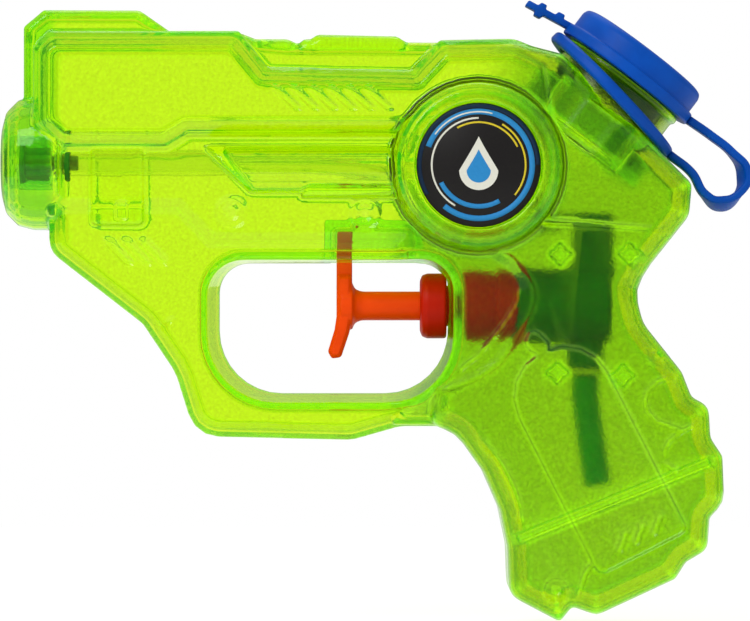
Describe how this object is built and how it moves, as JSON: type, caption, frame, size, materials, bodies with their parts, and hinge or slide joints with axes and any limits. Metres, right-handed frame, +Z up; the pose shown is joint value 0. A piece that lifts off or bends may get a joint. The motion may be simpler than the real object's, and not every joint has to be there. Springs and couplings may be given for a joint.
{
  "type": "toy water squirter",
  "caption": "Pistol-shaped toy water squirter: two clear half shells form the tank round a sprung trigger pump, with ball valves, a nozzle and a tethered plug cap.",
  "frame": {"origin": "middle of the hand grip on the seam plane, where a hand holds it", "axes": "+Z up, muzzle along -X, +Y across the seam towards the squirter's right side"},
  "size_m": [0.164, 0.04, 0.1348],
  "materials": {
    "clear_lime": "clear glossy",
    "blue_plastic": "satin",
    "orange_plastic": "glossy",
    "red_plastic": "glossy",
    "printed_label": "printed film",
    "spring_steel": "drawn wire",
    "black_rubber": "matte",
    "clear_vinyl": "clear soft",
    "natural_nylon": "satin"
  },
  "bodies": {
    "housing": {"left_shell": "clear_lime", "right_shell": "clear_lime", "left_badge": "printed_label", "right_badge": "printed_label", "gland_nut": "red_plastic", "gland_sleeve": "red_plastic", "rod_seal": "black_rubber", "pump_body": "blue_plastic", "pump_end_plug": "natural_nylon", "return_spring": "spring_steel", "outlet_spring": "spring_steel", "outlet_elbow": "blue_plastic", "nozzle_insert": "blue_plastic", "outlet_hose": "clear_vinyl", "hose_clip": "blue_plastic", "inlet_seat": "natural_nylon", "dip_tube": "blue_plastic", "filler_neck": "clear_lime", "tether_ring": "blue_plastic", "tether_strap": "blue_plastic"},
    "trigger": {"trigger": "orange_plastic", "piston_seal": "black_rubber"},
    "filler_cap": {"filler_cap": "blue_plastic"},
    "inlet_ball": {"inlet_ball": "natural_nylon"},
    "outlet_ball": {"outlet_ball": "natural_nylon"}
  },
  "joints": [
    {"name": "trigger_pull", "type": "slide", "parent": "housing", "child": "trigger", "axis": [1, 0, 0], "range_m": [0, 0.013], "stiffness_N_per_m": 400, "springref_m": -0.006, "deforming": ["return_spring"]},
    {"name": "cap_pull", "type": "slide", "parent": "housing", "child": "filler_cap", "axis": [0.6046, 0, 0.7965], "range_m": [0, 0.018], "deforming": ["tether_strap"]},
    {"name": "inlet_valve", "type": "slide", "parent": "housing", "child": "inlet_ball", "axis": [0, 0, 1], "range_m": [0, 0.0012]},
    {"name": "outlet_valve", "type": "slide", "parent": "housing", "child": "outlet_ball", "axis": [0, 0, 1], "range_m": [0, 0.0012], "stiffness_N_per_m": 40, "springref_m": -0.002, "deforming": ["outlet_spring"]}
  ]
}
